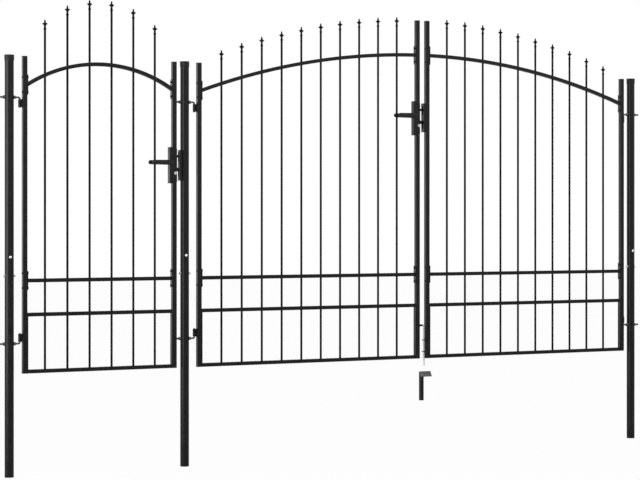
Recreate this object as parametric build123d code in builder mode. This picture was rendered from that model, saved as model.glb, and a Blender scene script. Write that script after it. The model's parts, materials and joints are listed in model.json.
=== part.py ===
# A steel gate set: a walk gate and a two-leaf drive gate, hung between three round posts that are set in the ground.
# X runs along the gates, +Y is the side that the leaves open to, and Z is up.
# The origin is the centre of the middle post's foot. All sizes are in millimetres.
from build123d import *
import os
from math import cos, radians, sqrt

# Posts
POST_HEIGHT = 2200.0  # foot to the top of the cap
POST_DIAMETER = 48.0
POST_WALL = 2.0
POST_FOOT_PLATE = 3.0  # disc welded into the foot
POST_CAP_TOP = 4.0
POST_CAP_SKIRT = 30.0
POST_CAP_WALL = 1.3
POST_CAP_CLEARANCE = 0.3
POST_CAP_CORNER = 1.5
WALK_POST_SPACING = 990.0  # left post to middle post, centre to centre
DRIVE_POST_SPACING = 2962.0  # middle post to right post

# Stiles, rails and bars
STILE_WIDTH = 25.0
STILE_WALL = 1.5
STILE_CORNER = 2.5
LEAF_BOTTOM = 538.0  # above the posts' feet, as is each size named HEIGHT, BOTTOM or TOP that isn't a piece's own
OUTER_STILE_DROP = 5.0  # below the tops of the posts
MEETING_STILE_RISE = 292.0  # above the tops of the outer stiles
RAIL_WIDTH = 20.0
RAIL_WALL = 1.5
LOWER_RAIL_HEIGHT = 845.0  # centre line
UPPER_RAIL_HEIGHT = 1023.0
BAR_DIAMETER = 12.0
BAR_CLEARANCE = 0.3
WALK_BAR_COUNT = 6
WALK_BAR_PITCH = 124.0
DRIVE_BAR_COUNT = 10
DRIVE_BAR_PITCH = 122.3
STILE_CAP_TOP = 6.0
STILE_CAP_PLUG = 14.0
STILE_CAP_CLEARANCE = 0.2

# Spaces beside the leaves
HINGE_STILE_SETBACK = 79.0  # post centre to stile centre
LATCH_STILE_SETBACK = 68.0
MEETING_SPACING = 65.0  # between the centres of the two meeting stiles

# Arched rails and the curves that the spear tips follow, with their apexes against the tops of the outer stiles
WALK_ARCH_RADIUS = 754.6
WALK_ARCH_DROP = 29.0
WALK_TIP_RADIUS = 462.2
WALK_TIP_RISE = 314.0
DRIVE_ARCH_RADIUS = 4092.0
DRIVE_ARCH_RISE = 92.3
DRIVE_TIP_RADIUS = 3542.8
DRIVE_TIP_RISE = 308.5

# Spear heads
SPEAR_HEIGHT = 52.0
SPEAR_TIP_WIDTH = 3.0
SPEAR_SHOULDER_WIDTH = 8.5  # blade just above its four points
SPEAR_POINT_SPAN = 28.0
SPEAR_POINT_DROP = 21.0  # tip down to the four points
SPEAR_SLOPE = 5.0  # rise of the points' upper and lower sides
SPEAR_THICKNESS = 7.0
SPEAR_COLLAR_DIAMETER = 15.0
SPEAR_COLLAR_HEIGHT = 8.0

# Plates that join the rails to the stiles
END_PLATE_THICKNESS = 4.0
ARCH_PLATE_HEIGHT = 106.0
UPPER_PLATE_HEIGHT = 100.0

# Hinges
HINGE_BOLT_DIAMETER = 10.0
HINGE_BOLT_BEND = 8.0
HINGE_BOLT_OUTER_END = 55.0  # beyond the post's centre
BOLT_HOLE_CLEARANCE = 0.3
HINGE_AXIS_SETBACK = 57.0  # post centre to hinge axis
TOP_HINGE_DROP = 216.0  # below the top of the outer stiles
LOW_HINGE_RISE = 156.5  # above the leaves' bottom
BARREL_DIAMETER = 17.0
BARREL_LENGTH = 41.0
BARREL_OFFSET = 9.5  # bolt's centre line to the near end of the barrel
PIN_CLEARANCE = 0.3
PIN_STICK_OUT = 4.0  # past the far end of the barrel
NUT_WIDTH = 17.0
NUT_HEIGHT = 8.0
WASHER_DIAMETER = 20.0
WASHER_THICKNESS = 2.0

# Locks
CASE_HEIGHT = 196.0
CASE_WRAP = 3.0  # thickness over the stile's front and back
CASE_OVERLAP = 6.0  # how far the case reaches over the stile's front and back
CASE_DEPTH = 18.0  # part inside the leaf, beside the stile
CASE_CORNER = 2.0
WALK_CASE_DROP = 560.5  # case's centre below the top of the lock stile
DRIVE_CASE_DROP = 564.3
SPINDLE_RISE = 16.0  # above the case's centre
SPINDLE_DIAMETER = 8.0
SPINDLE_CLEARANCE = 0.3
CYLINDER_DROP = 43.0  # key cylinder, below the case's centre
CYLINDER_DIAMETER = 17.0
CYLINDER_CLEARANCE = 0.3
CYLINDER_STICK_OUT = 12.0  # beyond the stile's front and back
FOREND_THICKNESS = 2.0
FOREND_WIDTH = 20.0
FOREND_HEIGHT = 180.0
LATCH_RISE = 33.0  # above the spindle
LATCH_HEIGHT = 14.0
DEAD_BOLT_DROP = 38.5  # below the spindle
DEAD_BOLT_HEIGHT = 20.0
TONGUE_WIDTH = 11.0
TONGUE_KEEPER_GAP = 5.3  # from the latch and the dead bolt to the keeper, so that the leaf can swing
LEVER_LENGTH = 103.0  # between the centres of its round ends
LEVER_ROOT_WIDTH = 26.0
LEVER_END_WIDTH = 23.0
LEVER_THICKNESS = 10.0
LEVER_STAND_OFF = 8.0  # case to the back of the grip
LEVER_HUB_DIAMETER = 17.0
LEVER_HUB_GAP = 0.3
LEVER_EDGE = 2.0

# Keepers
KEEPER_HEIGHT = 166.0
KEEPER_THICKNESS = 3.0
KEEPER_REACH = 16.5  # from the post or stile to the keeper's face
KEEPER_OVERLAP = 6.0  # how far the right leaf's keeper reaches over its stile
POST_KEEPER_WIDTH = 24.0
KEEPER_POST_GAP = 0.1
DRIVE_KEEPER_RISE = 4.0  # keeper's centre above the case's centre
SLOT_WIDTH = 14.0
LATCH_SLOT_RISE = 46.0  # slot's centre above the case's centre
LATCH_SLOT_HEIGHT = 52.0
BOLT_SLOT_DROP = 38.0
BOLT_SLOT_HEIGHT = 46.0

# Drop rod, its guides and the stop in the ground
ROD_DIAMETER = 10.0
ROD_SETBACK = 8.0  # rod centre from the stile's side
ROD_BOTTOM = 495.0
ROD_TOP = 733.5
ROD_HANDLE_REACH = 25.5
ROD_BEND = 8.0
ROD_CLEARANCE = 0.3
GUIDE_HEIGHTS = (644.0, 576.0)
GUIDE_THICKNESS = 5.0
GUIDE_EDGE = 4.0  # metal around the hole
GUIDE_STRAP_HEIGHT = 20.0
GUIDE_STRAP_THICKNESS = 3.0
STAKE_WIDTH = 20.0
STAKE_THICKNESS = 3.0
STAKE_BOTTOM = 298.0
STAKE_LEFT_OF_ROD = 38.5
STOP_TOP = 464.0
STOP_WIDTH = 72.0
STOP_LENGTH = 34.0
STOP_THICKNESS = 3.0
STOP_SLOPE = 58.0  # degrees from level, down towards the front
STOP_ROD_GAP = 5.0  # the rod comes down behind the plate

# Places that follow from the sizes above
LEAF_Y = -STILE_WIDTH / 2
STILE_HALF = STILE_WIDTH / 2
RAIL_HALF = RAIL_WIDTH / 2
POST_RADIUS = POST_DIAMETER / 2
BOTTOM_RAIL_HEIGHT = LEAF_BOTTOM + RAIL_HALF
OUTER_STILE_TOP = POST_HEIGHT - OUTER_STILE_DROP
MEETING_STILE_TOP = OUTER_STILE_TOP + MEETING_STILE_RISE
WALK_ARCH_APEX = OUTER_STILE_TOP - WALK_ARCH_DROP
WALK_TIP_APEX = OUTER_STILE_TOP + WALK_TIP_RISE
DRIVE_ARCH_APEX = OUTER_STILE_TOP + DRIVE_ARCH_RISE
DRIVE_TIP_APEX = OUTER_STILE_TOP + DRIVE_TIP_RISE
WALK_CASE_HEIGHT = OUTER_STILE_TOP - WALK_CASE_DROP
DRIVE_CASE_HEIGHT = MEETING_STILE_TOP - DRIVE_CASE_DROP
TOP_HINGE_HEIGHT = OUTER_STILE_TOP - TOP_HINGE_DROP
LOW_HINGE_HEIGHT = LEAF_BOTTOM + LOW_HINGE_RISE
LEFT_POST_X = -WALK_POST_SPACING
MIDDLE_POST_X = 0.0
RIGHT_POST_X = DRIVE_POST_SPACING
WALK_HINGE_STILE_X = LEFT_POST_X + HINGE_STILE_SETBACK
WALK_LOCK_STILE_X = MIDDLE_POST_X - LATCH_STILE_SETBACK
LEFT_HINGE_STILE_X = MIDDLE_POST_X + HINGE_STILE_SETBACK
RIGHT_HINGE_STILE_X = RIGHT_POST_X - HINGE_STILE_SETBACK
MEETING_X = (LEFT_HINGE_STILE_X + RIGHT_HINGE_STILE_X) / 2
LEFT_LOCK_STILE_X = MEETING_X - MEETING_SPACING / 2
RIGHT_LOCK_STILE_X = MEETING_X + MEETING_SPACING / 2
WALK_CENTRE_X = (WALK_HINGE_STILE_X + WALK_LOCK_STILE_X) / 2
ROD_X = RIGHT_LOCK_STILE_X - STILE_HALF - ROD_SETBACK
WALK_KEEPER_FACE_X = MIDDLE_POST_X - POST_RADIUS - KEEPER_REACH
RIGHT_KEEPER_FACE_X = RIGHT_LOCK_STILE_X - STILE_HALF - KEEPER_REACH

LOW = (Align.CENTER, Align.CENTER, Align.MIN)
FRONT_PLANE = Plane(origin=(0, LEAF_Y, 0), x_dir=(1, 0, 0), z_dir=(0, -1, 0))


def save(builder, name):
    builder.part.label = name
    export_step(builder.part, f"parts/{name}.step")


def arc_height(x, centre_x, apex, radius):
    """Height of a circular arc above the point x."""
    return apex - radius + sqrt(radius**2 - (x - centre_x) ** 2)


def facing(way, x, y, z):
    """A plane that faces along X, to the right for way 1 and to the left for way -1."""
    return Plane(origin=(x, y, z), x_dir=(0, way, 0), z_dir=(way, 0, 0))


def front_plane(y):
    """A plane that faces the front, with X to the right and Z up."""
    return Plane(origin=(0, y, 0), x_dir=(1, 0, 0), z_dir=(0, -1, 0))


def build_post(name, x, has_hinge_bolts):
    """A round tube, closed at its foot, drilled for its hinge bolts."""
    tube_top = POST_HEIGHT - POST_CAP_TOP
    with BuildPart() as post:
        with Locations((x, 0, 0)):
            Cylinder(POST_RADIUS, tube_top, align=LOW)
        with Locations((x, 0, POST_FOOT_PLATE)):
            Cylinder(POST_RADIUS - POST_WALL, tube_top, align=LOW, mode=Mode.SUBTRACT)
        if has_hinge_bolts:
            with Locations((x, 0, TOP_HINGE_HEIGHT), (x, 0, LOW_HINGE_HEIGHT)):
                Cylinder(HINGE_BOLT_DIAMETER / 2 + BOLT_HOLE_CLEARANCE, POST_DIAMETER * 2, rotation=(0, 90, 0),
                         mode=Mode.SUBTRACT)
    save(post, name)


def build_post_caps():
    """Push-on caps with a short skirt and a softened rim."""
    bore = POST_RADIUS + POST_CAP_CLEARANCE
    with BuildPart() as caps:
        with BuildSketch(Plane.XY.offset(POST_HEIGHT - POST_CAP_SKIRT)):
            with Locations(*[(x, 0) for x in (LEFT_POST_X, MIDDLE_POST_X, RIGHT_POST_X)]):
                Circle(bore + POST_CAP_WALL)
        extrude(amount=POST_CAP_SKIRT)
        fillet(caps.faces().group_by(Axis.Z)[-1].edges(), POST_CAP_CORNER)
        with BuildSketch(Plane.XY.offset(POST_HEIGHT - POST_CAP_TOP)):
            with Locations(*[(x, 0) for x in (LEFT_POST_X, MIDDLE_POST_X, RIGHT_POST_X)]):
                Circle(bore)
        extrude(amount=-POST_CAP_SKIRT, mode=Mode.SUBTRACT)
    save(caps, "post_caps")


def build_hinge_bolts(name, post_x, way):
    """Bent bolts through a post. The upper pin points down and the lower one up, so the leaf can't be lifted off."""
    pin_x = post_x + way * HINGE_AXIS_SETBACK
    with BuildPart() as bolts:
        for height, pin_way in ((TOP_HINGE_HEIGHT, -1), (LOW_HINGE_HEIGHT, 1)):
            shank_end = (post_x - way * HINGE_BOLT_OUTER_END, 0, height)
            pin_end = height + pin_way * (BARREL_OFFSET + BARREL_LENGTH + PIN_STICK_OUT)
            with BuildLine() as route:
                FilletPolyline(shank_end, (pin_x, 0, height), (pin_x, 0, pin_end), radius=HINGE_BOLT_BEND)
            with BuildSketch(facing(way, *shank_end)):
                Circle(HINGE_BOLT_DIAMETER / 2)
            sweep(path=route.line)
            for side in (-1, 1):
                seat_x = post_x + side * POST_RADIUS
                with BuildSketch(facing(side, seat_x, 0, height)):
                    Circle(WASHER_DIAMETER / 2)
                extrude(amount=WASHER_THICKNESS)
                with BuildSketch(facing(side, seat_x + side * WASHER_THICKNESS, 0, height)):
                    RegularPolygon(NUT_WIDTH / 2, 6, major_radius=False)
                extrude(amount=NUT_HEIGHT)
    save(bolts, name)


def build_hinge_barrels(name, post_x, way):
    """Short tubes with a flat tab, welded to the side of the hinge stile."""
    pin_x = post_x + way * HINGE_AXIS_SETBACK
    stile_side = post_x + way * (HINGE_STILE_SETBACK - STILE_HALF)
    tab_width = BARREL_DIAMETER / 2
    with BuildPart() as barrels:
        for height, pin_way in ((TOP_HINGE_HEIGHT, -1), (LOW_HINGE_HEIGHT, 1)):
            with BuildSketch(Plane.XY.offset(height + pin_way * BARREL_OFFSET)):
                with Locations((pin_x, 0)):
                    Circle(BARREL_DIAMETER / 2)
                with Locations(((pin_x + stile_side) / 2, -tab_width / 2)):
                    Rectangle(abs(stile_side - pin_x), tab_width)
                with Locations((pin_x, 0)):
                    Circle(HINGE_BOLT_DIAMETER / 2 + PIN_CLEARANCE, mode=Mode.SUBTRACT)
            extrude(amount=pin_way * BARREL_LENGTH)
    save(barrels, name)


def build_stile(name, x, top, case_height=None):
    """A square tube with rounded corners. A lock stile is drilled for its key cylinder."""
    tube_bottom = LEAF_BOTTOM + STILE_CAP_TOP
    bore = STILE_WIDTH - 2 * STILE_WALL
    with BuildPart() as stile:
        with BuildSketch(Plane.XY.offset(tube_bottom)):
            with Locations((x, LEAF_Y)):
                RectangleRounded(STILE_WIDTH, STILE_WIDTH, STILE_CORNER)
                RectangleRounded(bore, bore, STILE_CORNER - STILE_WALL, mode=Mode.SUBTRACT)
        extrude(amount=top - STILE_CAP_TOP - tube_bottom)
        if case_height:
            drill_through(x, case_height - CYLINDER_DROP, CYLINDER_DIAMETER / 2 + CYLINDER_CLEARANCE)
    save(stile, name)


def drill_through(x, height, radius):
    """A round hole from front to back of a lock stile or its case."""
    with Locations((x, LEAF_Y, height)):
        Cylinder(radius, STILE_WIDTH * 3, rotation=(90, 0, 0), mode=Mode.SUBTRACT)


def build_stile_caps(name, stiles):
    """Plugs in both ends of each stile. stiles holds pairs of a place and a top height."""
    plug = STILE_WIDTH - 2 * STILE_WALL - 2 * STILE_CAP_CLEARANCE
    with BuildPart() as caps:
        for x, top in stiles:
            for end, way in ((top, 1), (LEAF_BOTTOM, -1)):
                seat = Plane.XY.offset(end - way * STILE_CAP_TOP)
                with BuildSketch(seat):
                    with Locations((x, LEAF_Y)):
                        RectangleRounded(STILE_WIDTH, STILE_WIDTH, STILE_CORNER)
                extrude(amount=way * STILE_CAP_TOP)
                with BuildSketch(seat):
                    with Locations((x, LEAF_Y)):
                        RectangleRounded(plug, plug, STILE_CORNER - STILE_WALL)
                extrude(amount=-way * STILE_CAP_PLUG)
    save(caps, name)


def build_arch(name, left_x, right_x, curve, bars):
    """A rolled square tube between the end plates, punched for the bars. curve is centre, apex and radius."""
    start = left_x + STILE_HALF + END_PLATE_THICKNESS
    end = right_x - STILE_HALF - END_PLATE_THICKNESS
    centre_x, apex, radius = curve
    with BuildPart() as arch:
        for half, mode in ((RAIL_HALF, Mode.ADD), (RAIL_HALF - RAIL_WALL, Mode.SUBTRACT)):
            with BuildSketch(FRONT_PLANE):
                with Locations((centre_x, apex - radius)):
                    Circle(radius + half)
                    Circle(radius - half, mode=Mode.SUBTRACT)
                with Locations(((start + end) / 2, apex)):
                    Rectangle(end - start, radius, mode=Mode.INTERSECT)
            extrude(amount=half, both=True, mode=mode)
        with Locations(*[(x, LEAF_Y, apex) for x in bars]):
            Cylinder(BAR_DIAMETER / 2 + BAR_CLEARANCE, radius, mode=Mode.SUBTRACT)
    save(arch, name)


def build_rails(name, left_x, right_x, bars):
    """The bottom rail, on which the bars stand, and two rails that the bars pass through."""
    middle = (left_x + right_x) / 2
    full_length = right_x - left_x - STILE_WIDTH
    plated_length = full_length - 2 * END_PLATE_THICKNESS
    bore = RAIL_WIDTH - 2 * RAIL_WALL
    with BuildPart() as rails:
        for height, length in (
            (BOTTOM_RAIL_HEIGHT, plated_length),
            (LOWER_RAIL_HEIGHT, full_length),
            (UPPER_RAIL_HEIGHT, plated_length),
        ):
            with Locations((middle, LEAF_Y, height)):
                Box(length, RAIL_WIDTH, RAIL_WIDTH)
                Box(length, bore, bore, mode=Mode.SUBTRACT)
        with Locations(*[(x, LEAF_Y, z) for x in bars for z in (LOWER_RAIL_HEIGHT, UPPER_RAIL_HEIGHT)]):
            Cylinder(BAR_DIAMETER / 2 + BAR_CLEARANCE, RAIL_WIDTH * 2, mode=Mode.SUBTRACT)
    save(rails, name)


def build_bars(name, bars, tips):
    """Round bars from the bottom rail up to the spear heads."""
    foot = LEAF_BOTTOM + RAIL_WIDTH
    with BuildPart() as rods:
        for x, tip in zip(bars, tips):
            with Locations((x, LEAF_Y, foot)):
                Cylinder(BAR_DIAMETER / 2, tip - SPEAR_HEIGHT - foot, align=LOW)
    save(rods, name)


def spear_outline():
    """Half of a spear blade's outline, from its tip down to its foot, as distances from the centre and the tip."""
    half_shoulder = SPEAR_SHOULDER_WIDTH / 2
    return [
        (SPEAR_TIP_WIDTH / 2, 0),
        (half_shoulder, -SPEAR_POINT_DROP + SPEAR_SLOPE),
        (SPEAR_POINT_SPAN / 2, -SPEAR_POINT_DROP),
        (half_shoulder, -SPEAR_POINT_DROP - SPEAR_SLOPE * 2),
        (half_shoulder, -SPEAR_HEIGHT + SPEAR_COLLAR_HEIGHT),
    ]


def build_finials(name, bars, tips):
    """Cast spear heads: two crossed blades with four side points, on a round collar."""
    right_side = spear_outline()
    outline = right_side + [(-across, down) for across, down in reversed(right_side)]
    with BuildPart() as heads:
        for x, tip in zip(bars, tips):
            side_plane = Plane(origin=(x, LEAF_Y, tip), x_dir=(0, 1, 0), z_dir=(1, 0, 0))
            for plane in (Plane(origin=(x, LEAF_Y, tip), x_dir=(1, 0, 0), z_dir=(0, -1, 0)), side_plane):
                with BuildSketch(plane):
                    Polygon(*outline, align=None)
                extrude(amount=SPEAR_THICKNESS / 2, both=True)
            with Locations((x, LEAF_Y, tip - SPEAR_HEIGHT)):
                Cylinder(SPEAR_COLLAR_DIAMETER / 2, SPEAR_COLLAR_HEIGHT, align=LOW)
    save(heads, name)


def build_end_plates(name, left_x, right_x, curve):
    """Flat plates on the inner sides of the stiles, behind the ends of the arch, the upper rail and the bottom rail."""
    with BuildPart() as plates:
        for x, inward in ((left_x, 1), (right_x, -1)):
            side = x + inward * STILE_HALF
            low_plate_top = LOWER_RAIL_HEIGHT - RAIL_HALF
            low_plate_height = low_plate_top - LEAF_BOTTOM
            for height, size in (
                (arc_height(side, *curve), ARCH_PLATE_HEIGHT),
                (UPPER_RAIL_HEIGHT, UPPER_PLATE_HEIGHT),
                (LEAF_BOTTOM + low_plate_height / 2, low_plate_height),
            ):
                with Locations((side + inward * END_PLATE_THICKNESS / 2, LEAF_Y, height)):
                    Box(END_PLATE_THICKNESS, STILE_WIDTH, size)
    save(plates, name)


def spindle_x(stile_x):
    """The lever's spindle passes through the middle of the case, beside the stile."""
    return stile_x - STILE_HALF - CASE_DEPTH / 2


def build_lock_case(name, x, height, keeper_face_x):
    """A housing on the inner side of the lock stile, and the forend on its outer side with latch and dead bolt."""
    thickness = STILE_WIDTH + 2 * CASE_WRAP
    left = x - STILE_HALF - CASE_DEPTH
    width = CASE_DEPTH + CASE_OVERLAP
    forend_x = x + STILE_HALF
    tongue_length = keeper_face_x - TONGUE_KEEPER_GAP - forend_x
    with BuildPart() as case:
        with Locations((left + width / 2, LEAF_Y, height)):
            Box(width, thickness, CASE_HEIGHT)
        fillet(case.edges().filter_by(Axis.Z).group_by(Axis.X)[0], CASE_CORNER)
        with Locations((x, LEAF_Y, height)):
            Box(STILE_WIDTH, STILE_WIDTH, CASE_HEIGHT, mode=Mode.SUBTRACT)
        drill_through(spindle_x(x), height + SPINDLE_RISE, SPINDLE_DIAMETER / 2 + SPINDLE_CLEARANCE)
        drill_through(x, height - CYLINDER_DROP, CYLINDER_DIAMETER / 2 + CYLINDER_CLEARANCE)
        with Locations((forend_x + FOREND_THICKNESS / 2, LEAF_Y, height)):
            Box(FOREND_THICKNESS, FOREND_WIDTH, FOREND_HEIGHT)
        for rise, size in ((LATCH_RISE, LATCH_HEIGHT), (-DEAD_BOLT_DROP, DEAD_BOLT_HEIGHT)):
            with Locations((forend_x + tongue_length / 2, LEAF_Y, height + SPINDLE_RISE + rise)):
                Box(tongue_length, TONGUE_WIDTH, size)
    save(case, name)


def build_lock_cylinder(name, x, height):
    """The key cylinder, through the stile."""
    length = STILE_WIDTH + 2 * CYLINDER_STICK_OUT
    with BuildPart() as cylinder:
        with Locations((x, LEAF_Y, height - CYLINDER_DROP)):
            Cylinder(CYLINDER_DIAMETER / 2, length, rotation=(90, 0, 0))
    save(cylinder, name)


def build_lever(name, x, height):
    """Front and rear lever on one spindle, pointing into the leaf."""
    case_half = STILE_HALF + CASE_WRAP
    grip_back = case_half + LEVER_STAND_OFF
    grip_front = grip_back + LEVER_THICKNESS
    with BuildPart() as lever:
        with Locations((x, LEAF_Y, height)):
            Cylinder(SPINDLE_DIAMETER / 2, 2 * grip_front, rotation=(90, 0, 0))
        for way in (-1, 1):
            with BuildSketch(front_plane(LEAF_Y + way * grip_back)):
                with Locations((x, height)):
                    Circle(LEVER_ROOT_WIDTH / 2)
                with Locations((x - LEVER_LENGTH, height)):
                    Circle(LEVER_END_WIDTH / 2)
                make_hull()
            extrude(amount=-way * LEVER_THICKNESS)
            outer_face = lever.faces().sort_by(Axis.Y)[0 if way < 0 else -1]
            chamfer(outer_face.edges(), LEVER_EDGE)
            with BuildSketch(front_plane(LEAF_Y + way * (case_half + LEVER_HUB_GAP))):
                with Locations((x, height)):
                    Circle(LEVER_HUB_DIAMETER / 2)
            extrude(amount=-way * (LEVER_STAND_OFF - LEVER_HUB_GAP))
    save(lever, name)


def cut_keeper_slots(face_x, case_height):
    """Slots across a keeper's face for the latch and the dead bolt."""
    for rise, size in ((LATCH_SLOT_RISE, LATCH_SLOT_HEIGHT), (-BOLT_SLOT_DROP, BOLT_SLOT_HEIGHT)):
        with Locations((face_x, LEAF_Y, case_height + rise)):
            Box(KEEPER_THICKNESS * 3, SLOT_WIDTH, size, mode=Mode.SUBTRACT)


def build_walk_keeper():
    """A channel welded to the left side of the middle post by its rear flange."""
    face_x = WALK_KEEPER_FACE_X
    end_x = MIDDLE_POST_X - POST_RADIUS
    channel = (POST_KEEPER_WIDTH, POST_KEEPER_WIDTH - 2 * KEEPER_THICKNESS)
    with BuildPart() as keeper:
        with Locations(((face_x + end_x) / 2, LEAF_Y, WALK_CASE_HEIGHT)):
            Box(end_x - face_x, channel[0], KEEPER_HEIGHT)
        with Locations(((face_x + end_x) / 2 + KEEPER_THICKNESS, LEAF_Y, WALK_CASE_HEIGHT)):
            Box(end_x - face_x, channel[1], KEEPER_HEIGHT, mode=Mode.SUBTRACT)
        rear_flange_y = LEAF_Y + POST_KEEPER_WIDTH / 2 - KEEPER_THICKNESS / 2
        with Locations(((end_x + MIDDLE_POST_X) / 2, rear_flange_y, WALK_CASE_HEIGHT)):
            Box(MIDDLE_POST_X - end_x, KEEPER_THICKNESS, KEEPER_HEIGHT)
        with Locations((MIDDLE_POST_X, 0, WALK_CASE_HEIGHT)):
            Cylinder(POST_RADIUS + KEEPER_POST_GAP, KEEPER_HEIGHT, mode=Mode.SUBTRACT)
        cut_keeper_slots(face_x, WALK_CASE_HEIGHT)
    save(keeper, "walk_keeper")


def build_right_keeper():
    """A channel on the right leaf's meeting stile, reaching a little over its front and back."""
    face_x = RIGHT_KEEPER_FACE_X
    end_x = RIGHT_LOCK_STILE_X - STILE_HALF + KEEPER_OVERLAP
    height = DRIVE_CASE_HEIGHT + DRIVE_KEEPER_RISE
    with BuildPart() as keeper:
        with Locations(((face_x + end_x) / 2, LEAF_Y, height)):
            Box(end_x - face_x, STILE_WIDTH + 2 * KEEPER_THICKNESS, KEEPER_HEIGHT)
        with Locations(((face_x + end_x) / 2 + KEEPER_THICKNESS, LEAF_Y, height)):
            Box(end_x - face_x, STILE_WIDTH, KEEPER_HEIGHT, mode=Mode.SUBTRACT)
        cut_keeper_slots(face_x, DRIVE_CASE_HEIGHT)
    save(keeper, "right_keeper")


def build_drop_rod():
    """A round rod, bent over at its top for a handle."""
    handle_height = ROD_TOP - ROD_DIAMETER / 2
    with BuildPart() as rod:
        with BuildLine() as route:
            FilletPolyline(
                (ROD_X, LEAF_Y, ROD_BOTTOM),
                (ROD_X, LEAF_Y, handle_height),
                (ROD_X - ROD_HANDLE_REACH, LEAF_Y, handle_height),
                radius=ROD_BEND,
            )
        with BuildSketch(Plane(origin=(ROD_X, LEAF_Y, ROD_BOTTOM))):
            Circle(ROD_DIAMETER / 2)
        sweep(path=route.line)
    save(rod, "drop_rod")


def build_drop_rod_guides():
    """Flat eyes for the rod, each with a strap over the front of the stile."""
    eye_reach = ROD_DIAMETER / 2 + ROD_CLEARANCE + GUIDE_EDGE
    stile_side = RIGHT_LOCK_STILE_X - STILE_HALF
    left = ROD_X - eye_reach
    right = stile_side + STILE_WIDTH
    front = LEAF_Y - STILE_HALF - GUIDE_STRAP_THICKNESS
    back = LEAF_Y + eye_reach
    with BuildPart() as guides:
        for height in GUIDE_HEIGHTS:
            with Locations(((left + right) / 2, (front + back) / 2, height)):
                Box(right - left, back - front, GUIDE_THICKNESS)
            with Locations(((stile_side + right) / 2, front + GUIDE_STRAP_THICKNESS / 2, height)):
                Box(STILE_WIDTH, GUIDE_STRAP_THICKNESS, GUIDE_STRAP_HEIGHT)
            with Locations((RIGHT_LOCK_STILE_X, LEAF_Y, height)):
                Box(STILE_WIDTH, STILE_WIDTH, GUIDE_STRAP_HEIGHT * 2, mode=Mode.SUBTRACT)
            with Locations((ROD_X, LEAF_Y, height)):
                Cylinder(ROD_DIAMETER / 2 + ROD_CLEARANCE, GUIDE_THICKNESS * 2, mode=Mode.SUBTRACT)
    save(guides, "drop_rod_guides")


def build_ground_stop():
    """An angle-iron stake in the ground, with a steep plate that the foot of the rod comes down behind."""
    plate_back = LEAF_Y - ROD_DIAMETER / 2 - STOP_ROD_GAP - STOP_THICKNESS
    front = plate_back - STOP_LENGTH * cos(radians(STOP_SLOPE))
    stake_x = ROD_X - STAKE_LEFT_OF_ROD
    plate_plane = Plane(origin=(stake_x + STAKE_THICKNESS, plate_back, STOP_TOP)).rotated((STOP_SLOPE, 0, 0))
    with BuildPart() as stop:
        with BuildSketch(Plane.XY.offset(STAKE_BOTTOM)):
            with BuildLine():
                Polyline(
                    (stake_x, front),
                    (stake_x + STAKE_WIDTH, front),
                    (stake_x + STAKE_WIDTH, front + STAKE_THICKNESS),
                    (stake_x + STAKE_THICKNESS, front + STAKE_THICKNESS),
                    (stake_x + STAKE_THICKNESS, front + STAKE_WIDTH),
                    (stake_x, front + STAKE_WIDTH),
                    close=True,
                )
            make_face()
        extrude(amount=STOP_TOP - STAKE_BOTTOM)
        with BuildSketch(plate_plane):
            Rectangle(STOP_WIDTH * 3, STOP_LENGTH * 3)
        extrude(amount=STOP_LENGTH * 3, mode=Mode.SUBTRACT)
        with BuildSketch(plate_plane):
            Rectangle(STOP_WIDTH, STOP_LENGTH, align=(Align.MIN, Align.MAX))
        extrude(amount=-STOP_THICKNESS)
    save(stop, "ground_stop")


def build_leaf(name, hinge_x, lock_x, tops, count, pitch, arch_curve, tip_curve, case_height=None):
    """The frame, bars and finials of one leaf. tops holds the heights of the hinge stile and the lock stile."""
    left_x = min(hinge_x, lock_x)
    right_x = max(hinge_x, lock_x)
    middle = (left_x + right_x) / 2
    bars = [middle + (i - (count - 1) / 2) * pitch for i in range(count)]
    tips = [arc_height(x, *tip_curve) for x in bars]
    hinge_top, lock_top = tops
    build_stile(f"{name}_hinge_stile", hinge_x, hinge_top)
    build_stile(f"{name}_lock_stile", lock_x, lock_top, case_height)
    build_stile_caps(f"{name}_stile_caps", ((hinge_x, hinge_top), (lock_x, lock_top)))
    build_arch(f"{name}_arch", left_x, right_x, arch_curve, bars)
    build_rails(f"{name}_rails", left_x, right_x, bars)
    build_bars(f"{name}_bars", bars, tips)
    build_finials(f"{name}_finials", bars, tips)
    build_end_plates(f"{name}_end_plates", left_x, right_x, arch_curve)


os.makedirs("parts", exist_ok=True)

build_post("post_left", LEFT_POST_X, True)
build_post("post_middle", MIDDLE_POST_X, True)
build_post("post_right", RIGHT_POST_X, True)
build_post_caps()

walk_arch_curve = (WALK_CENTRE_X, WALK_ARCH_APEX, WALK_ARCH_RADIUS)
walk_tip_curve = (WALK_CENTRE_X, WALK_TIP_APEX, WALK_TIP_RADIUS)
build_leaf("walk", WALK_HINGE_STILE_X, WALK_LOCK_STILE_X, (OUTER_STILE_TOP, OUTER_STILE_TOP),
           WALK_BAR_COUNT, WALK_BAR_PITCH, walk_arch_curve, walk_tip_curve, WALK_CASE_HEIGHT)

drive_arch_curve = (MEETING_X, DRIVE_ARCH_APEX, DRIVE_ARCH_RADIUS)
drive_tip_curve = (MEETING_X, DRIVE_TIP_APEX, DRIVE_TIP_RADIUS)
drive_tops = (OUTER_STILE_TOP, MEETING_STILE_TOP)
build_leaf("left", LEFT_HINGE_STILE_X, LEFT_LOCK_STILE_X, drive_tops,
           DRIVE_BAR_COUNT, DRIVE_BAR_PITCH, drive_arch_curve, drive_tip_curve, DRIVE_CASE_HEIGHT)
build_leaf("right", RIGHT_HINGE_STILE_X, RIGHT_LOCK_STILE_X, drive_tops,
           DRIVE_BAR_COUNT, DRIVE_BAR_PITCH, drive_arch_curve, drive_tip_curve)

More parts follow.
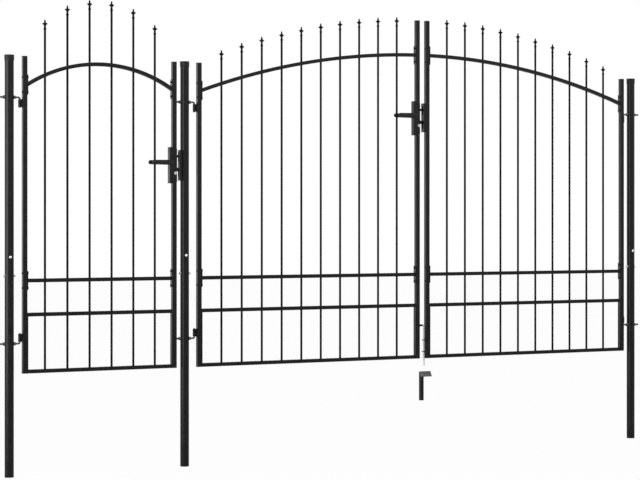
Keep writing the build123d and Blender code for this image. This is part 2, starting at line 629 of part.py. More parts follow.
for leaf, post_x, way in (("walk", LEFT_POST_X, 1), ("left", MIDDLE_POST_X, 1), ("right", RIGHT_POST_X, -1)):
    build_hinge_bolts(f"{leaf}_hinge_bolts", post_x, way)
    build_hinge_barrels(f"{leaf}_hinge_barrels", post_x, way)

for leaf, stile_x, case_height, keeper_face_x in (
    ("walk", WALK_LOCK_STILE_X, WALK_CASE_HEIGHT, WALK_KEEPER_FACE_X),
    ("left", LEFT_LOCK_STILE_X, DRIVE_CASE_HEIGHT, RIGHT_KEEPER_FACE_X),
):
    build_lock_case(f"{leaf}_lock_case", stile_x, case_height, keeper_face_x)
    build_lock_cylinder(f"{leaf}_lock_cylinder", stile_x, case_height)
    build_lever(f"{leaf}_lever", spindle_x(stile_x), case_height + SPINDLE_RISE)

build_walk_keeper()
build_right_keeper()
build_drop_rod()
build_drop_rod_guides()
build_ground_stop()
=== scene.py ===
# A black steel gate set: its finishes, spear heads and small fasteners, with the studio and the camera.
# All sizes are in metres, apart from the table of the spear heads' sections, which is in millimetres.
import json
import math

import bmesh
import bpy
from mathutils import Matrix, Vector


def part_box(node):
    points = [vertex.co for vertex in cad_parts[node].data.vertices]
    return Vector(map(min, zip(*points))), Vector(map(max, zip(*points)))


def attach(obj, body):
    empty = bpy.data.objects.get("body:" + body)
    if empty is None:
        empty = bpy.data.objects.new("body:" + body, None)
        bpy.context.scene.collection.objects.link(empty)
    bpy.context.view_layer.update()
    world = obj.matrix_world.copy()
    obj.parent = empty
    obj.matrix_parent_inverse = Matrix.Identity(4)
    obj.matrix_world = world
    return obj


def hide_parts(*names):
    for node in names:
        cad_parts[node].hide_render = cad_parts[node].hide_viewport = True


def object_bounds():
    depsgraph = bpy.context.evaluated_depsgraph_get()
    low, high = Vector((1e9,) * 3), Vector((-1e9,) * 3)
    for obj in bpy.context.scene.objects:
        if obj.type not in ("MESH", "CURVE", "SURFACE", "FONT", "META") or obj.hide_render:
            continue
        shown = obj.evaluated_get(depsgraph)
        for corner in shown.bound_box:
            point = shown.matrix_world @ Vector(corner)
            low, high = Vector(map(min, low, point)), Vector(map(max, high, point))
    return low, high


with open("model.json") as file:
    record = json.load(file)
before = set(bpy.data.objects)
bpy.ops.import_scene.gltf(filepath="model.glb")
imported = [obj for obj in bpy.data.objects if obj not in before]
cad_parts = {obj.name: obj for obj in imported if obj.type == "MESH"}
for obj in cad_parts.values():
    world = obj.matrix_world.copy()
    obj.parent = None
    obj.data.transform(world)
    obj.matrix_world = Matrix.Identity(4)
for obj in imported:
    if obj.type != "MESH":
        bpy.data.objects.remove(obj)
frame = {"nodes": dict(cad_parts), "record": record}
cad_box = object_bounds()

# The photograph's camera: level, to the left of the gates, with its horizon above the picture's middle
PHOTO_WIDTH = 640
PHOTO_HEIGHT = 480
SENSOR_WIDTH = 36.0
FOCAL_PIXELS = 1954.5
HORIZON_ROW = 214.94
CAMERA_PLACE = Vector((-4.173, -9.799, 1.3656))
CAMERA_TURN = 27.03  # degrees, to the right of the gates' normal
VIEW_DISTANCE = 200.0

# Studio
FLOOR_SIZE = 60.0
FLOOR_PAINT = 0.85
FLOOR_WHITENESS = 0.96  # share of the floor's look that is plain white, and the rest takes the shadows
SURFACE_LIGHT = 0.5  # strength of the world for surfaces that aren't mirrors

# Leaves, posts and ways
BODIES = {"walk": "walk_leaf", "left": "left_leaf", "right": "right_leaf"}
LEAF_POSTS = {"walk": "post_left", "left": "post_middle", "right": "post_right"}
LOCKED_LEAVES = ("walk", "left")
BAR_COUNTS = {"walk": 6, "left": 10, "right": 10}
WAYS = {
    "+X": Vector((1, 0, 0)),
    "-X": Vector((-1, 0, 0)),
    "-Y": Vector((0, -1, 0)),
    "+Y": Vector((0, 1, 0)),
}

# Sizes of the CAD pieces that the small pieces fit
BAR_RADIUS = 0.006
RAIL_HALF = 0.010
BARREL_RADIUS = 0.0085
BARREL_LENGTH = 0.041
HINGE_WASHER_RADIUS = 0.010
FOREND_THICKNESS = 0.002
LEVER_ROOT_RADIUS = 0.013
ROD_RADIUS = 0.005

# Turned shapes
ROUND = 24
HEX = 6
DOME_STEPS = 6
HEX_CHAMFER = 0.12  # of the distance from a hexagon's middle to its corners
SUNK = 0.0008  # how deep a fastener's seat lies in a curved face

# Plugs and bolts of the posts, with heights above the posts' feet
FRONT_PLUG_HEIGHT = 1.146
FRONT_PLUG_RADIUS = 0.0075
FRONT_PLUG_RISE = 0.0034
SIDE_BOLT_HEIGHT = 1.049
SIDE_NUT_WIDTH = 0.013
SIDE_NUT_THICKNESS = 0.0065
SIDE_WASHER_RADIUS = 0.0085
SIDE_WASHER_THICKNESS = 0.0016
SIDE_BOLT_RADIUS = 0.004
SIDE_BOLT_RISE = 0.0035  # past its nut

# Bolts of the end plates
PLATE_BOLT_OFFSET = 0.0385  # from the middle of a plate
LONG_PLATE = 0.2  # a plate taller than this is welded, not bolted
PLATE_NUT_WIDTH = 0.010
PLATE_NUT_THICKNESS = 0.005
PLATE_HEAD_RADIUS = 0.0065
PLATE_HEAD_RISE = 0.0035
LEVEL_DECIMALS = 4  # levels of corners are told apart to a tenth of a millimetre

# Threads of the hinge bolts
THREAD_PITCH = 0.0015
THREAD_CREST = 0.00535
THREAD_ROOT = 0.0048
THREAD_START = 0.035  # from the post's centre, just outside the nut
THREAD_END_GAP = 0.0006

# Lock details
KEY_PLUG_RADIUS = 0.0058
KEY_PLUG_RISE = 0.0009
KEY_PLUG_STEPS = 14
KEY_PLUG_GAP = 0.0006  # between the plug and the rim around it
KEY_RIM_RADIUS = 0.0079
KEYWAY_HALF = 0.0009
FOREND_SCREW_OFFSET = 0.081
FOREND_SCREW_RADIUS = 0.0042
FOREND_SCREW_RISE = 0.0012
LEVER_PIN_RADIUS = 0.0045
LEVER_PIN_RISE = 0.9 * SUNK  # so that the pins end just under the levers' faces, inside the CAD box

# Sleeve of the drop rod
SLEEVE_WALL = 0.001
SLEEVE_LENGTH = 0.015
SLEEVE_CHAMFER = 0.0012
SLEEVE_BITE = 0.0002  # how far the sleeve's open end lies under the rod's surface

# Weld beads
BEAD_RADIUS = 0.0016
BEAD_SEGMENTS = 8
BEAD_RIPPLE = 0.0035
BEAD_STEPS = 4  # along each ripple
BEAD_SWELL = 0.18  # share of the radius that a ripple takes away
BEAD_END = 0.45  # share of the radius at a bead's ends
BEAD_GROWTH = 0.3  # share of the radius that each step from an end adds
BEAD_INSET = 0.001  # from the ends of a barrel's seam

# A spear head's sections in millimetres, from its tip down: depth, reach of its four points, half their
# thickness, and the distance to the hollows between them
SPEAR_SECTIONS = (
    (0.0, 2.4, 0.9, 2.6),
    (1.6, 3.2, 1.2, 3.4),
    (9.0, 4.2, 1.6, 4.5),
    (15.0, 5.0, 2.0, 5.2),
    (17.6, 8.6, 2.3, 5.6),
    (19.8, 14.6, 2.1, 5.9),
    (20.8, 15.8, 1.8, 6.0),
    (22.0, 15.2, 2.1, 6.0),
    (24.6, 10.6, 2.6, 5.8),
    (28.0, 6.8, 2.4, 5.5),
    (32.0, 5.3, 1.7, 5.3),
    (43.0, 5.5, 1.7, 5.5),
    (44.5, 7.0, 1.9, 7.1),
    (46.5, 7.5, 2.0, 7.6),
    (49.5, 7.5, 2.0, 7.6),
    (52.0, 6.6, 1.8, 6.8),
)
MILLIMETRE = 0.001

# Finishes
PEEL_DEPTH = 0.0002  # orange peel of the powder coat
RUBBED_GAIN = 2.2  # rubbed edges, against the dusty tone of the coat
RUBBED_LIFT = 0.004
EDGE_WEAR = 0.35
ZINC_TINT = (1.0, 1.01, 1.03)
ZINC_DIRT = 0.8  # dirt, against the dull tone of the zinc
ZINC_SCRATCH_DEPTH = 0.00008
PLASTIC_GRAIN_DEPTH = 0.00012


def centre_of(node):
    low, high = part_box(node)
    return (low + high) / 2


# Materials


class Shader:
    """A principled material with short helpers for its nodes."""

    def __init__(self, name, color, roughness, metallic=0.0, specular=0.5):
        self.material = bpy.data.materials.new(name)
        self.material.use_nodes = True
        self.tree = self.material.node_tree
        self.bsdf = self.tree.nodes["Principled BSDF"]
        self.bsdf.inputs["Metallic"].default_value = metallic
        self.bsdf.inputs["Specular IOR Level"].default_value = specular
        self.bsdf.inputs["Base Color"].default_value = (*color, 1)
        self.bsdf.inputs["Roughness"].default_value = roughness
        self.place = self.node("ShaderNodeTexCoord").outputs["Object"]

    def node(self, kind, **values):
        made = self.tree.nodes.new(kind)
        for key, value in values.items():
            setattr(made, key, value)
        return made

    def link(self, output, socket):
        self.tree.links.new(output, socket)

    def noise(self, scale, detail, stretch=(1, 1, 1)):
        mapping = self.node("ShaderNodeMapping")
        mapping.inputs["Scale"].default_value = stretch
        self.link(self.place, mapping.inputs["Vector"])
        made = self.node("ShaderNodeTexNoise")
        made.inputs["Scale"].default_value = scale
        made.inputs["Detail"].default_value = detail
        self.link(mapping.outputs["Vector"], made.inputs["Vector"])
        return made.outputs["Fac"]

    def cells(self, scale):
        made = self.node("ShaderNodeTexVoronoi")
        made.inputs["Scale"].default_value = scale
        self.link(self.place, made.inputs["Vector"])
        return made.outputs["Color"]

    def ramp(self, value, low, high, start, end):
        """Maps value from low..high to start..end, which are numbers or colours."""
        made = self.node("ShaderNodeValToRGB")
        made.color_ramp.elements[0].position = low
        made.color_ramp.elements[1].position = high
        for element, shade in zip(made.color_ramp.elements, (start, end)):
            element.color = (shade, shade, shade, 1) if isinstance(shade, float) else (*shade, 1)
        self.link(value, made.inputs["Fac"])
        return made.outputs["Color"]

    def mix(self, factor, first, second):
        """Blends from first to second, which are outputs or colours."""
        made = self.node("ShaderNodeMix", data_type="RGBA")
        self.link(factor, made.inputs["Factor"])
        for socket, value in ((made.inputs["A"], first), (made.inputs["B"], second)):
            if isinstance(value, tuple):
                socket.default_value = (*value, 1)
            else:
                self.link(value, socket)
        return made.outputs["Result"]

    def bump(self, height, distance, strength):
        made = self.node("ShaderNodeBump")
        made.inputs["Distance"].default_value = distance
        made.inputs["Strength"].default_value = strength
        self.link(height, made.inputs["Height"])
        self.link(made.outputs["Normal"], self.bsdf.inputs["Normal"])

    def set_color(self, output):
        self.link(output, self.bsdf.inputs["Base Color"])

    def set_roughness(self, output):
        self.link(output, self.bsdf.inputs["Roughness"])


def worn_edges(shader, amount):
    """A mask of outer edges, broken up by noise."""
    pointiness = shader.node("ShaderNodeNewGeometry").outputs["Pointiness"]
    edge = shader.ramp(pointiness, low=0.52, high=0.60, start=0.0, end=amount)
    patches = shader.ramp(shader.noise(scale=40, detail=4), low=0.48, high=0.62, start=0.0, end=1.0)
    both = shader.node("ShaderNodeMath", operation="MULTIPLY")
    shader.link(edge, both.inputs[0])
    shader.link(patches, both.inputs[1])
    return both.outputs["Value"]


def powder_coat(name, base, dusty, roughness, specular, peel_scale, peel=0.3):
    """Black powder coat: orange peel, faint dust and slightly polished edges."""
    shader = Shader(name, base, roughness, specular=specular)
    dust = shader.ramp(shader.noise(scale=6, detail=5), low=0.45, high=0.75, start=base, end=dusty)
    rubbed = tuple(channel * RUBBED_GAIN + RUBBED_LIFT for channel in dusty)
    shader.set_color(shader.mix(worn_edges(shader, EDGE_WEAR), dust, rubbed))
    uneven = shader.noise(scale=14, detail=4)
    smooth, rough = roughness - 0.05, roughness + 0.08
    shader.set_roughness(shader.ramp(uneven, low=0.35, high=0.7, start=smooth, end=rough))
    shader.bump(shader.noise(peel_scale, detail=2), PEEL_DEPTH, peel)
    return shader.material


def zinc_coat(name, dull, bright, roughness):
    """Zinc plating with a soft spangle and fine scratches, between a dull and a bright grey."""
    shader = Shader(name, (bright, bright, bright), roughness, metallic=1.0)
    tones = (dull, bright, dull * ZINC_DIRT)
    low_tone, high_tone, dirt = (tuple(min(1.0, tone * tint) for tint in ZINC_TINT) for tone in tones)
    spangle = shader.ramp(shader.cells(scale=900), low=0.2, high=0.9, start=low_tone, end=high_tone)
    soiled = shader.ramp(shader.noise(scale=60, detail=5), low=0.5, high=0.8, start=0.0, end=0.5)
    shader.set_color(shader.mix(soiled, spangle, dirt))
    uneven = shader.noise(scale=220, detail=4)
    smooth, rough = roughness - 0.08, roughness + 0.12
    shader.set_roughness(shader.ramp(uneven, low=0.3, high=0.7, start=smooth, end=rough))
    shader.bump(shader.noise(scale=1500, detail=2, stretch=(1, 1, 0.2)), ZINC_SCRATCH_DEPTH, 0.3)
    return shader.material


def moulded_plastic():
    """Black nylon with a fine moulded grain."""
    shader = Shader("black_plastic", (0.006, 0.006, 0.007), 0.5, specular=0.3)
    worn = shader.noise(scale=25, detail=5)
    dark, pale = (0.004, 0.004, 0.0045), (0.014, 0.014, 0.015)
    shader.set_color(shader.ramp(worn, low=0.4, high=0.75, start=dark, end=pale))
    uneven = shader.noise(scale=80, detail=4)
    shader.set_roughness(shader.ramp(uneven, low=0.35, high=0.7, start=0.42, end=0.6))
    shader.bump(shader.noise(scale=2600, detail=2), PLASTIC_GRAIN_DEPTH, 0.4)
    return shader.material


def make_materials():
    """One finish for each slot of the record, and two variants of its zinc."""
    return {
        "black_coat": powder_coat("black_coat", base=(0.0025, 0.0025, 0.003), dusty=(0.005, 0.005, 0.0055),
                                  roughness=0.24, specular=0.24, peel_scale=900),
        "bar_coat": powder_coat("bar_coat", base=(0.0015, 0.0015, 0.002), dusty=(0.003, 0.003, 0.0035),
                                roughness=0.34, specular=0.08, peel_scale=1100, peel=0.12),
        "cast_coat": powder_coat("cast_coat", base=(0.0015, 0.0015, 0.002), dusty=(0.004, 0.004, 0.0045),
                                 roughness=0.44, specular=0.08, peel_scale=420),
        "lock_coat": powder_coat("lock_coat", base=(0.0035, 0.0035, 0.004), dusty=(0.007, 0.007, 0.0075),
                                 roughness=0.32, specular=0.24, peel_scale=1400),
        "zinc": zinc_coat("zinc", dull=0.50, bright=0.74, roughness=0.34),
        "dull_zinc": zinc_coat("dull_zinc", dull=0.09, bright=0.19, roughness=0.40),
        "polished": zinc_coat("polished", dull=0.86, bright=0.97, roughness=0.20),
        "black_plastic": moulded_plastic(),
    }


def dress_nodes():
    """Gives each CAD node the finish of its slot. The hinge bolts' zinc is weathered."""
    for row in frame["record"]["subparts"]:
        node = frame["nodes"][row["node"]]
        finish = "dull_zinc" if row["node"].endswith("hinge_bolts") else row["material_slot"]
        node.data.materials.clear()
        node.data.materials.append(materials[finish])


# Helpers for small pieces


def aimed(place, way):
    """A matrix that puts local Z along way, at place."""
    return Matrix.Translation(place) @ way.to_track_quat("Z", "Y").to_matrix().to_4x4()


def turned(mesh, profile, segments, matrix):
    """Adds a turned shape to mesh. profile holds pairs of a radius and a height."""
    rings = []
    for radius, height in profile:
        if radius == 0:
            rings.append([mesh.verts.new(matrix @ Vector((0, 0, height)))])
            continue
        ring = []
        for i in range(segments):
            angle = 2 * math.pi * i / segments
            corner = Vector((radius * math.cos(angle), radius * math.sin(angle), height))
            ring.append(mesh.verts.new(matrix @ corner))
        rings.append(ring)
    for lower, upper in zip(rings, rings[1:]):
        for i in range(segments):
            j = i + 1
            below = (lower[i % len(lower)], lower[j % len(lower)])
            above = (upper[j % len(upper)], upper[i % len(upper)])
            unique = list(dict.fromkeys(below + above))
            if len(unique) > 2:
                mesh.faces.new(unique)


def finish_piece(name, mesh, slot, body, smooth=False, finish=None):
    """Turns a bmesh into a piece riding on a body, with the finish of its slot or a variant of it."""
    bmesh.ops.recalc_face_normals(mesh, faces=mesh.faces)
    for face in mesh.faces:
        face.smooth = smooth
    data = bpy.data.meshes.new(name)
    mesh.to_mesh(data)
    mesh.free()
    piece = bpy.data.objects.new(name, data)
    bpy.context.scene.collection.objects.link(piece)
    data.materials.append(materials[finish or slot])
    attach(piece, body)
    return piece


def hex_profile(width, height):
    """A hexagonal head with a chamfered rim, from its seat up."""
    corner = width / math.sqrt(3)
    chamfer = HEX_CHAMFER * corner
    return [(0, 0), (corner, 0), (corner, height - chamfer), (corner - chamfer, height), (0, height)]


def dome_profile(radius, height):
    """A domed head, from its seat up."""
    angles = [math.pi / 2 * i / DOME_STEPS for i in range(DOME_STEPS)]
    arc = [(radius * math.cos(angle), height * math.sin(angle)) for angle in angles]
    return [(0, 0)] + arc + [(0, height)]


def washer_profile(radius, thickness):
    return [(0, 0), (radius, 0), (radius, thickness), (0, thickness)]


def inward_from(leaf, stile):
    """The way along X from a stile to the middle of its leaf."""
    return WAYS["+X"] if centre_of(f"{leaf}_rails").x > centre_of(stile).x else WAYS["-X"]


def both_ends(node):
    """The front and back ends of a piece that lies along Y, each with the way that it faces."""
    low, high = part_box(node)
    return (WAYS["-Y"], low.y), (WAYS["+Y"], high.y)


# Spear heads


def spear_head(mesh, tip):
    """A cast head with four points, made of one ring of twelve corners for each section."""
    rings = []
    for depth, reach, half, hollow in SPEAR_SECTIONS:
        ring = []
        for quarter in range(4):
            turn = Matrix.Rotation(quarter * math.pi / 2, 3, "Z")
            diagonal = hollow / math.sqrt(2)
            for corner in ((reach, -half), (reach, half), (diagonal, diagonal)):
                ring.append(mesh.verts.new(tip + turn @ Vector((*corner, -depth)) * MILLIMETRE))
        rings.append(ring)
    for upper, lower in zip(rings, rings[1:]):
        for i in range(len(upper)):
            j = (i + 1) % len(upper)
            mesh.faces.new((upper[i], upper[j], lower[j], lower[i]))
    mesh.faces.new(rings[0])
    mesh.faces.new(rings[-1])


def add_spear_heads():
    """Cast heads with softened points, in the places of the plain ones."""
    for leaf, body in BODIES.items():
        low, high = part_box(f"{leaf}_bars")
        plain = frame["nodes"][f"{leaf}_finials"].data
        count = BAR_COUNTS[leaf]
        first, last = low.x + BAR_RADIUS, high.x - BAR_RADIUS
        mesh = bmesh.new()
        for i in range(count):
            x = first + (last - first) * i / (count - 1)
            top = max(v.co.z for v in plain.vertices if abs(v.co.x - x) < BAR_RADIUS * 3)
            spear_head(mesh, Vector((x, (low.y + high.y) / 2, top)))
        heads = finish_piece(f"{leaf}_spear_heads", mesh, "cast_coat", body, smooth=True)
        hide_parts(f"{leaf}_finials")


# Fasteners


def add_post_fasteners():
    """A domed plug on the front of each post, and a bolt across it lower down."""
    washer_top = SUNK + SIDE_WASHER_THICKNESS
    washer = washer_profile(SIDE_WASHER_RADIUS, washer_top)
    for post in LEAF_POSTS.values():
        low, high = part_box(post)
        middle = (low + high) / 2
        radius = (high.x - low.x) / 2
        mesh = bmesh.new()
        seat = Vector((middle.x, -radius + SUNK, FRONT_PLUG_HEIGHT))
        turned(mesh, dome_profile(FRONT_PLUG_RADIUS, FRONT_PLUG_RISE), ROUND, aimed(seat, WAYS["-Y"]))
        finish_piece(f"{post}_plug", mesh, "zinc", "posts", smooth=True, finish="polished")
        mesh = bmesh.new()
        for way in (WAYS["-X"], WAYS["+X"]):
            seat = Vector((middle.x, 0, SIDE_BOLT_HEIGHT)) + way * (radius - SUNK)
            on_washer = seat + way * washer_top
            on_nut = on_washer + way * SIDE_NUT_THICKNESS
            turned(mesh, washer, ROUND, aimed(seat, way))
            turned(mesh, hex_profile(SIDE_NUT_WIDTH, SIDE_NUT_THICKNESS), HEX, aimed(on_washer, way))
            turned(mesh, dome_profile(SIDE_BOLT_RADIUS, SIDE_BOLT_RISE), ROUND, aimed(on_nut, way))
        finish_piece(f"{post}_fasteners", mesh, "zinc", "posts")


def plate_edges(leaf, stile_middle, reach):
    """The levels of the end plates' edges beside one stile, and how far their faces lie from its middle."""
    plates = frame["nodes"][f"{leaf}_end_plates"].data
    near = [v.co for v in plates.vertices if abs(v.co.x - stile_middle.x) < reach]
    edges = sorted({round(co.z, LEVEL_DECIMALS) for co in near})
    return edges, max(abs(co.x - stile_middle.x) for co in near)


def bolt_heights(edges):
    """Two bolts in each short plate. edges holds the plates' lower and upper edges in turn."""
    pairs = zip(edges[0::2], edges[1::2])
    middles = [(bottom + top) / 2 for bottom, top in pairs if top - bottom < LONG_PLATE]
    return [middle + side * PLATE_BOLT_OFFSET for middle in middles for side in (-1, 1)]


def add_plate_bolts():
    """Round heads on the outer sides of the stiles and nuts on the inner plates."""
    head = dome_profile(PLATE_HEAD_RADIUS, PLATE_HEAD_RISE)
    nut = hex_profile(PLATE_NUT_WIDTH, PLATE_NUT_THICKNESS)
    for leaf, body in BODIES.items():
        for stile_name in ("hinge_stile", "lock_stile"):
            stile = f"{leaf}_{stile_name}"
            low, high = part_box(stile)
            middle = (low + high) / 2
            half = (high.x - low.x) / 2
            inward = inward_from(leaf, stile)
            edges, plate_face = plate_edges(leaf, middle, half * 2)
            mesh = bmesh.new()
            for height in bolt_heights(edges):
                at = Vector((middle.x, middle.y, height))
                turned(mesh, head, ROUND, aimed(at - inward * half, -inward))
                turned(mesh, nut, HEX, aimed(at + inward * plate_face, inward))
            finish_piece(f"{stile}_bolts", mesh, "black_coat", body)


def hinge_heights(leaf):
    """The heights of a leaf's two hinge bolts, from the edges of their washers."""
    low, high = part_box(f"{leaf}_hinge_bolts")
    return low.z + HINGE_WASHER_RADIUS, high.z - HINGE_WASHER_RADIUS


def add_threads():
    """Threaded ends of the hinge bolts, outside the posts."""
    half_pitch = THREAD_PITCH / 2
    for leaf, post in LEAF_POSTS.items():
        low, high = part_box(f"{leaf}_hinge_bolts")
        middle = centre_of(post).x
        outward = WAYS["-X"] if leaf != "right" else WAYS["+X"]
        end = max(outward.x * (low.x - middle), outward.x * (high.x - middle)) - THREAD_END_GAP
        steps = int((end - THREAD_START) / half_pitch)
        profile = [(THREAD_CREST if i % 2 else THREAD_ROOT, i * half_pitch) for i in range(steps + 1)]
        mesh = bmesh.new()
        for height in hinge_heights(leaf):
            seat = Vector((middle, 0, height)) + outward * THREAD_START
            turned(mesh, [(0, 0)] + profile + [(0, profile[-1][1])], ROUND, aimed(seat, outward))
        finish_piece(f"{leaf}_hinge_bolt_threads", mesh, "zinc", "posts", finish="dull_zinc")


# Locks and drop rod


def half_plug(mesh, matrix, side):
    """One half of a key plug's face, beside the keyway."""
    start = math.asin(KEYWAY_HALF / KEY_PLUG_RADIUS)
    angles = [start + (math.pi - 2 * start) * i / KEY_PLUG_STEPS for i in range(KEY_PLUG_STEPS + 1)]
    outline = [(KEY_PLUG_RADIUS * math.sin(a) * side, KEY_PLUG_RADIUS * math.cos(a)) for a in angles]
    foot = [mesh.verts.new(matrix @ Vector((*point, 0))) for point in outline]
    face = [mesh.verts.new(matrix @ Vector((*point, KEY_PLUG_RISE))) for point in outline]
    mesh.faces.new(face)
    mesh.faces.new(foot)
    for i in range(len(outline)):
        j = (i + 1) % len(outline)
        mesh.faces.new((foot[i], foot[j], face[j], face[i]))


def add_key_plugs(leaf):
    """A plug with a keyway and a rim around it, on both ends of a key cylinder."""
    rim_start = KEY_PLUG_RADIUS + KEY_PLUG_GAP
    rim = [(rim_start, 0), (rim_start, KEY_PLUG_RISE), (KEY_RIM_RADIUS, KEY_PLUG_RISE), (KEY_RIM_RADIUS, 0)]
    cylinder = f"{leaf}_lock_cylinder"
    middle = centre_of(cylinder)
    mesh = bmesh.new()
    for way, y in both_ends(cylinder):
        matrix = aimed(Vector((middle.x, y, middle.z)), way)
        for side in (-1, 1):
            half_plug(mesh, matrix, side)
        turned(mesh, rim, ROUND, matrix)
    finish_piece(f"{leaf}_key_plugs", mesh, "zinc", BODIES[leaf])


def add_forend_screws(leaf):
    """A screw near each end of a lock's forend."""
    forend_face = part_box(f"{leaf}_lock_stile")[1].x + FOREND_THICKNESS
    middle_y = centre_of(f"{leaf}_lock_cylinder").y
    case = centre_of(f"{leaf}_lock_case")
    mesh = bmesh.new()
    for side in (-1, 1):
        seat = Vector((forend_face, middle_y, case.z + side * FOREND_SCREW_OFFSET))
        turned(mesh, dome_profile(FOREND_SCREW_RADIUS, FOREND_SCREW_RISE), ROUND, aimed(seat, WAYS["+X"]))
    finish_piece(f"{leaf}_forend_screws", mesh, "zinc", BODIES[leaf])


def add_lever_pins(leaf):
    """The spindle's riveted ends, just under the faces of the levers' hubs."""
    lever = f"{leaf}_lever"
    hub_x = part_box(lever)[1].x - LEVER_ROOT_RADIUS
    mesh = bmesh.new()
    for way, y in both_ends(lever):
        seat = Vector((hub_x, y, centre_of(lever).z)) - way * SUNK
        turned(mesh, dome_profile(LEVER_PIN_RADIUS, LEVER_PIN_RISE), ROUND, aimed(seat, way))
    finish_piece(f"{leaf}_lever_pins", mesh, "zinc", lever)


def add_lock_details():
    """Key plugs, forend screws and lever pins of both locks."""
    for leaf in LOCKED_LEAVES:
        add_key_plugs(leaf)
        add_forend_screws(leaf)
        add_lever_pins(leaf)


def add_rod_sleeve():
    """A black sleeve pushed over the bent end of the drop rod."""
    low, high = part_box("drop_rod")
    end = Vector((low.x, centre_of("right_lock_stile").y, high.z - ROD_RADIUS))
    outer = ROD_RADIUS + SLEEVE_WALL
    profile = [
        (0, -SLEEVE_WALL),
        (outer - SLEEVE_CHAMFER, -SLEEVE_WALL),
        (outer, SLEEVE_CHAMFER - SLEEVE_WALL),
        (outer, SLEEVE_LENGTH),
        (ROD_RADIUS - SLEEVE_BITE, SLEEVE_LENGTH),
    ]
    mesh = bmesh.new()
    turned(mesh, profile, ROUND, aimed(end, WAYS["+X"]))
    finish_piece("drop_rod_sleeve", mesh, "black_plastic", "drop_rod")


# Welds


def weld_bead(mesh, start, end):
    """A rippled bead of weld along a straight seam."""
    way = (end - start).normalized()
    length = (end - start).length
    steps = max(BEAD_STEPS, int(length / BEAD_RIPPLE * BEAD_STEPS))
    profile = [(0, 0)]
    for i in range(steps + 1):
        swell = 1 - BEAD_SWELL * (1 - math.cos(2 * math.pi * i / BEAD_STEPS)) / 2
        taper = min(1.0, BEAD_END + min(i, steps - i) * BEAD_GROWTH)
        profile.append((BEAD_RADIUS * swell * taper, length * i / steps))
    profile.append((0, length))
    turned(mesh, profile, BEAD_SEGMENTS, aimed(start, way))


def lower_rail_height(leaf):
    """The centre line of the middle one of a leaf's three rails."""
    rails = frame["nodes"][f"{leaf}_rails"].data
    levels = sorted({round(v.co.z, LEVEL_DECIMALS) for v in rails.vertices})
    bottom, top = levels[0] + 2 * RAIL_HALF, levels[-1] - 2 * RAIL_HALF
    between = [z for z in levels if bottom + RAIL_HALF < z < top - RAIL_HALF]
    return (between[0] + between[-1]) / 2


def weld_rail_end(mesh, leaf, stile, height):
    """Beads around the end of a rail that meets its stile without a plate."""
    low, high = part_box(stile)
    middle = centre_of(stile)
    face_x = middle.x + inward_from(leaf, stile).x * (high.x - low.x) / 2
    around = ((-1, -1), (-1, 1), (1, 1), (1, -1))
    corners = [Vector((face_x, middle.y + y * RAIL_HALF, height + z * RAIL_HALF)) for y, z in around]
    for start, end in zip(corners, corners[1:] + corners[:1]):
        weld_bead(mesh, start, end)


def add_welds():
    """Beads where the lower rails and the hinge barrels' tabs meet the stiles."""
    for leaf, body in BODIES.items():
        mesh = bmesh.new()
        rail_height = lower_rail_height(leaf)
        for stile_name in ("hinge_stile", "lock_stile"):
            weld_rail_end(mesh, leaf, f"{leaf}_{stile_name}", rail_height)
        tab_low, tab_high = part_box(f"{leaf}_hinge_barrels")
        seam_x = tab_high.x if leaf != "right" else tab_low.x
        for bottom in (tab_low.z, tab_high.z - BARREL_LENGTH):
            weld_bead(mesh, Vector((seam_x, -BARREL_RADIUS, bottom + BEAD_INSET)),
                      Vector((seam_x, -BARREL_RADIUS, bottom + BARREL_LENGTH - BEAD_INSET)))
        finish_piece(f"{leaf}_welds", mesh, "black_coat", body, smooth=True)


# Floor, world, lamps and camera


def add_floor():
    """A pale floor that shows white and keeps a faint shadow."""
    low, high = cad_box
    centre = (low + high) / 2
    bpy.ops.mesh.primitive_plane_add(size=FLOOR_SIZE, location=(centre.x, centre.y, low.z))
    floor = bpy.context.object
    floor.name = "floor"
    material = bpy.data.materials.new("floor_paint")
    material.use_nodes = True
    tree = material.node_tree
    tree.nodes.clear()
    output = tree.nodes.new("ShaderNodeOutputMaterial")
    paint = tree.nodes.new("ShaderNodeBsdfDiffuse")
    paint.inputs["Color"].default_value = (FLOOR_PAINT, FLOOR_PAINT, FLOOR_PAINT, 1)
    white = tree.nodes.new("ShaderNodeEmission")
    rays = tree.nodes.new("ShaderNodeLightPath")
    seen = tree.nodes.new("ShaderNodeMath")
    seen.operation = "MULTIPLY"
    seen.inputs[1].default_value = FLOOR_WHITENESS
    tree.links.new(rays.outputs["Is Camera Ray"], seen.inputs[0])
    blend = tree.nodes.new("ShaderNodeMixShader")
    tree.links.new(seen.outputs["Value"], blend.inputs["Fac"])
    tree.links.new(paint.outputs["BSDF"], blend.inputs[1])
    tree.links.new(white.outputs["Emission"], blend.inputs[2])
    tree.links.new(blend.outputs["Shader"], output.inputs["Surface"])
    floor.data.materials.append(material)


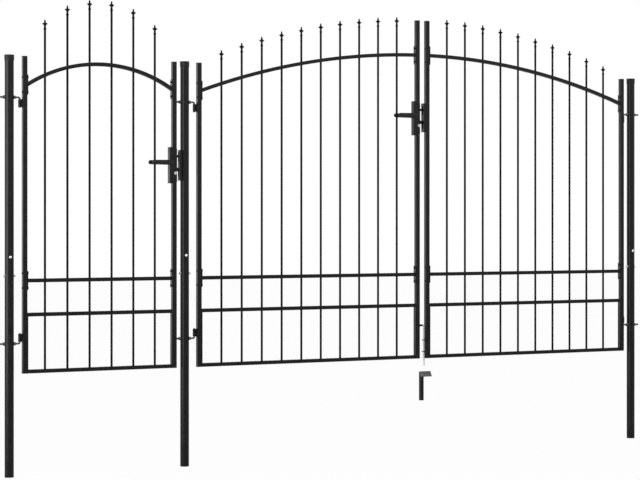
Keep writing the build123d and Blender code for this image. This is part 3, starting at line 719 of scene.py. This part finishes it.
def add_world():
    """White to the camera, to mirrors and through glass, and a dimmer even light for surfaces."""
    world = bpy.data.worlds.new("studio")
    bpy.context.scene.world = world
    world.use_nodes = True
    tree = world.node_tree
    background = tree.nodes["Background"]
    background.inputs["Color"].default_value = (1, 1, 1, 1)
    rays = tree.nodes.new("ShaderNodeLightPath")
    seen = tree.nodes.new("ShaderNodeMath")
    seen.operation = "MAXIMUM"
    tree.links.new(rays.outputs["Is Camera Ray"], seen.inputs[0])
    tree.links.new(rays.outputs["Is Glossy Ray"], seen.inputs[1])
    through = tree.nodes.new("ShaderNodeMath")
    through.operation = "MAXIMUM"
    tree.links.new(seen.outputs["Value"], through.inputs[0])
    tree.links.new(rays.outputs["Is Transmission Ray"], through.inputs[1])
    strength = tree.nodes.new("ShaderNodeMapRange")
    strength.inputs["To Min"].default_value = SURFACE_LIGHT
    strength.inputs["To Max"].default_value = 1.0
    tree.links.new(through.outputs["Value"], strength.inputs["Value"])
    tree.links.new(strength.outputs["Result"], background.inputs["Strength"])


def add_lamp(name, place, target, size, power):
    """A soft rectangular lamp aimed at a point."""
    data = bpy.data.lights.new(name, "AREA")
    data.shape = "RECTANGLE"
    data.size, data.size_y = size
    data.energy = power
    lamp = bpy.data.objects.new(name, data)
    bpy.context.scene.collection.objects.link(lamp)
    lamp.location = place
    lamp.rotation_euler = (Vector(target) - Vector(place)).to_track_quat("-Z", "Y").to_euler()


def add_lamps():
    """A large lamp that streaks the posts' left sides, a faint one behind, a small one on the drive gate."""
    add_lamp("side", place=(-6.8, -1.7, 1.9), target=(0, 0, 1.2), size=(5.6, 4.4), power=330)
    add_lamp("back", place=(-5.0, 8.5, 1.6), target=(0.5, 0, 1.2), size=(5.0, 4.0), power=60)
    add_lamp("top", place=(4.2, -2.8, 5.0), target=(1.45, 0, 0.45), size=(1.6, 1.6), power=50)


def add_camera():
    """The photograph's view: no tilt, and a shift that puts the horizon in its row."""
    data = bpy.data.cameras.new("camera")
    data.sensor_width = SENSOR_WIDTH
    data.lens = FOCAL_PIXELS / PHOTO_WIDTH * SENSOR_WIDTH
    data.shift_y = (HORIZON_ROW - PHOTO_HEIGHT / 2) / PHOTO_WIDTH
    data.clip_end = VIEW_DISTANCE
    camera = bpy.data.objects.new("camera", data)
    bpy.context.scene.collection.objects.link(camera)
    camera.location = CAMERA_PLACE
    camera.rotation_euler = (math.radians(90), 0, -math.radians(CAMERA_TURN))
    bpy.context.scene.camera = camera


materials = make_materials()
dress_nodes()
add_spear_heads()
add_post_fasteners()
add_plate_bolts()
add_threads()
add_lock_details()
add_rod_sleeve()
add_welds()
add_floor()
add_world()
add_lamps()
add_camera()
bpy.context.scene.view_settings.view_transform = "Standard"
